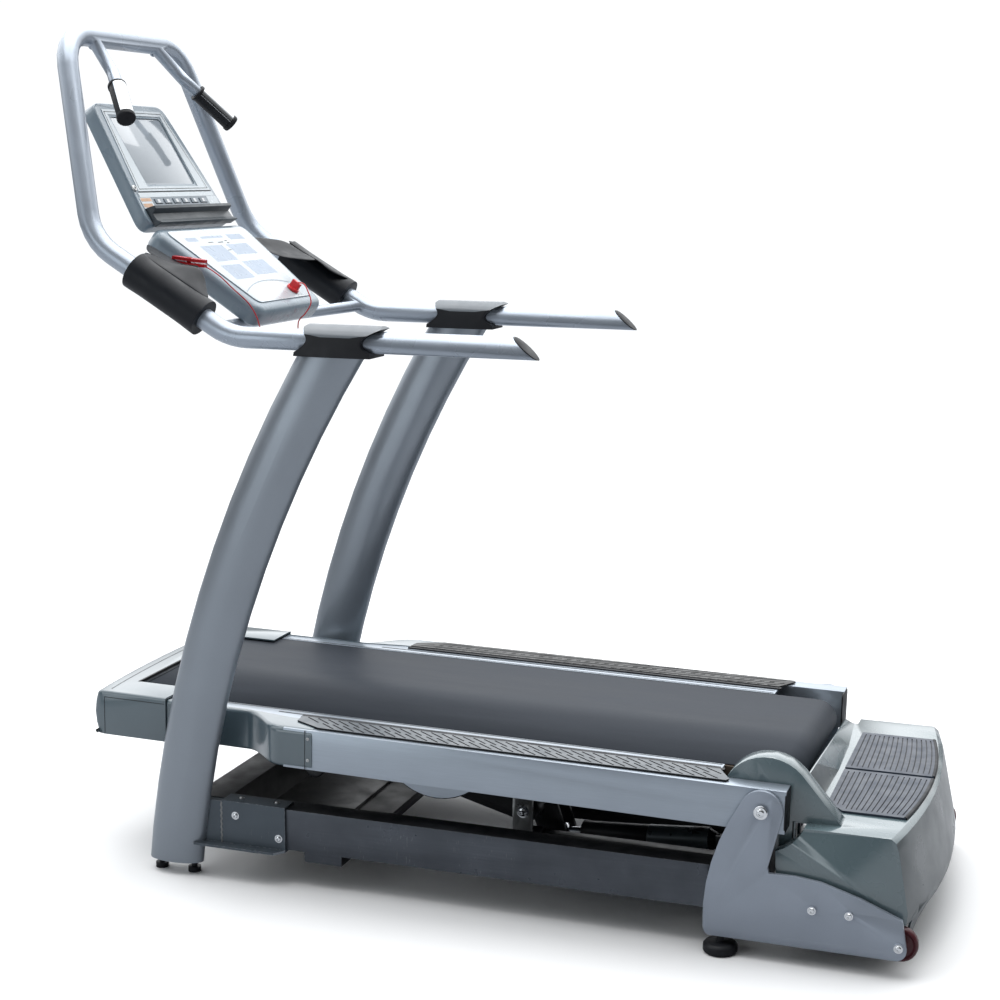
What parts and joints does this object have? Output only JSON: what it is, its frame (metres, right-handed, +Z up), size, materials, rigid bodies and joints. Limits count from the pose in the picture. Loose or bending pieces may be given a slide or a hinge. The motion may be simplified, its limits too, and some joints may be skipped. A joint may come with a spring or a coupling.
{
  "type": "incline treadmill",
  "caption": "Powered incline treadmill: flat running deck hinged at the rear, lift frame, curved uprights, handrail hoop and two consoles.",
  "frame": {"origin": "floor level, midway across the machine and midway along its overall length", "axes": "+X to the user's left, +Y to the rear step-on end, +Z up"},
  "size_m": [0.891, 2.066, 1.943],
  "materials": {
    "base_steel": "brushed, dark",
    "mast_paint": "satin metallic",
    "silver_paint": "satin metallic",
    "plate_paint": "satin metallic",
    "chrome": "polished",
    "black_steel": "satin black",
    "hood_plastic": "semi-gloss grey-green",
    "cover_plastic": "semi-gloss blue-grey",
    "console_plastic": "semi-gloss blue-grey",
    "panel_plastic": "pale satin film",
    "screen_glass": "glossy screen",
    "black_rubber": "matt, fine grain",
    "belt_rubber": "matt woven-back PVC",
    "pad_plastic": "matt, slashed grip",
    "board_wood": "waxed phenolic-faced board",
    "red_plastic": "glossy",
    "wheel_plastic": "dark red polyurethane",
    "key_plastic": "white"
  },
  "bodies": {
    "base": {"base_frame": "base_steel", "fulcrum_axle": "chrome", "upright_left": "mast_paint", "upright_right": "mast_paint", "front_foot_left": "black_rubber", "front_foot_right": "black_rubber", "rear_foot_left": "black_rubber", "rear_foot_right": "black_rubber", "side_plate_left": "plate_paint", "side_plate_right": "plate_paint", "pivot_bolt_left": "chrome", "pivot_bolt_right": "chrome", "handrail_cap_left": "black_rubber", "handrail_cap_right": "black_rubber", "clamp_left": "black_rubber", "clamp_right": "black_rubber", "grab_grip_left": "black_rubber", "grab_grip_right": "black_rubber", "hand_pad_left": "black_rubber", "hand_pad_right": "black_rubber", "handrail_hoop": "silver_paint", "lower_console": "console_plastic", "console_overlay": "panel_plastic", "display_housing": "console_plastic", "display_screen": "screen_glass", "display_tray": "black_rubber", "rear_hood": "hood_plastic", "pulley_cover": "hood_plastic", "step_mat_left": "black_rubber", "step_mat_right": "black_rubber", "drive_motor": "black_steel", "drive_belt": "black_rubber"},
    "deck": {"deck_rail_left": "silver_paint", "deck_rail_right": "silver_paint", "rail_cover_left": "cover_plastic", "rail_cover_right": "cover_plastic", "side_pad_left": "pad_plastic", "side_pad_right": "pad_plastic", "deck_frame": "black_steel", "deck_board": "board_wood", "running_belt": "belt_rubber", "front_cap": "cover_plastic"},
    "rear_drum": {"rear_roller": "chrome"},
    "front_drum": {"front_roller": "chrome"},
    "motor_rotor": {"motor_pulley": "chrome"},
    "lift": {"lift_frame": "black_steel"},
    "lift_wheel_left": {"lift_roller_left": "chrome"},
    "lift_wheel_right": {"lift_roller_right": "chrome"},
    "actuator_tube": {"actuator_body": "black_steel"},
    "actuator_screw": {"actuator_rod": "chrome"},
    "wheel_left": {"transport_wheel_left": "wheel_plastic"},
    "wheel_right": {"transport_wheel_right": "wheel_plastic"},
    "emergency_key": {"safety_key": "red_plastic"},
    "key_1": {"display_key_1": "key_plastic"},
    "key_2": {"display_key_2": "key_plastic"},
    "key_3": {"display_key_3": "key_plastic"},
    "key_4": {"display_key_4": "key_plastic"},
    "key_5": {"display_key_5": "key_plastic"},
    "key_6": {"display_key_6": "key_plastic"}
  },
  "joints": [
    {"name": "deck_incline", "type": "hinge", "parent": "base", "child": "deck", "pos_m": [0, 0.68, 0.324], "axis": [-1, 0, 0], "range_deg": [-2.5, 15.5]},
    {"name": "rear_roller_spin", "type": "hinge", "parent": "deck", "child": "rear_drum", "pos_m": [0, 0.68, 0.324], "axis": [1, 0, 0], "continuous": true},
    {"name": "front_roller_spin", "type": "hinge", "parent": "deck", "child": "front_drum", "pos_m": [0, -0.85485, 0.34543], "axis": [1, 0, 0], "continuous": true},
    {"name": "motor_spin", "type": "hinge", "parent": "base", "child": "motor_rotor", "pos_m": [0, 0.85, 0.18], "axis": [1, 0, 0], "continuous": true},
    {"name": "lift_pivot", "type": "hinge", "parent": "base", "child": "lift", "pos_m": [0, 0.076, 0.158], "axis": [-1, 0, 0], "range_deg": [-6, 36.5]},
    {"name": "lift_roller_left_spin", "type": "hinge", "parent": "lift", "child": "lift_wheel_left", "pos_m": [0.3155, -0.375, 0.2655], "axis": [1, 0, 0], "continuous": true},
    {"name": "lift_roller_right_spin", "type": "hinge", "parent": "lift", "child": "lift_wheel_right", "pos_m": [-0.3155, -0.375, 0.2655], "axis": [1, 0, 0], "continuous": true},
    {"name": "actuator_tilt", "type": "hinge", "parent": "base", "child": "actuator_tube", "pos_m": [0, 0.53, 0.09], "axis": [1, 0, 0], "range_deg": [-1, 3]},
    {"name": "actuator_extend", "type": "slide", "parent": "actuator_tube", "child": "actuator_screw", "axis": [0, -0.9981, -0.0615], "range_m": [-0.012, 0.07]},
    {"name": "transport_wheel_left_spin", "type": "hinge", "parent": "base", "child": "wheel_left", "pos_m": [0.402, 0.97, 0.07], "axis": [1, 0, 0], "continuous": true},
    {"name": "transport_wheel_right_spin", "type": "hinge", "parent": "base", "child": "wheel_right", "pos_m": [-0.402, 0.97, 0.07], "axis": [1, 0, 0], "continuous": true},
    {"name": "safety_key_pull", "type": "slide", "parent": "base", "child": "emergency_key", "axis": [0, 0.5976, 0.8018], "range_m": [0, 0.025]},
    {"name": "display_key_1_press", "type": "slide", "parent": "base", "child": "key_1", "axis": [0, -0.8545, -0.5195], "range_m": [0, 0.002]},
    {"name": "display_key_2_press", "type": "slide", "parent": "base", "child": "key_2", "axis": [0, -0.8545, -0.5195], "range_m": [0, 0.002]},
    {"name": "display_key_3_press", "type": "slide", "parent": "base", "child": "key_3", "axis": [0, -0.8545, -0.5195], "range_m": [0, 0.002]},
    {"name": "display_key_4_press", "type": "slide", "parent": "base", "child": "key_4", "axis": [0, -0.8545, -0.5195], "range_m": [0, 0.002]},
    {"name": "display_key_5_press", "type": "slide", "parent": "base", "child": "key_5", "axis": [0, -0.8545, -0.5195], "range_m": [0, 0.002]},
    {"name": "display_key_6_press", "type": "slide", "parent": "base", "child": "key_6", "axis": [0, -0.8545, -0.5195], "range_m": [0, 0.002]}
  ],
  "couplings": [
    {"joint": "lift_pivot", "follows": "deck_incline", "ratio": 2.335},
    {"joint": "actuator_tilt", "follows": "deck_incline", "ratio": 0.075},
    {"joint": "actuator_extend", "follows": "deck_incline", "m_per_rad": 0.2446},
    {"joint": "front_roller_spin", "follows": "rear_roller_spin", "ratio": 1},
    {"joint": "motor_spin", "follows": "rear_roller_spin", "ratio": 2.0667}
  ]
}
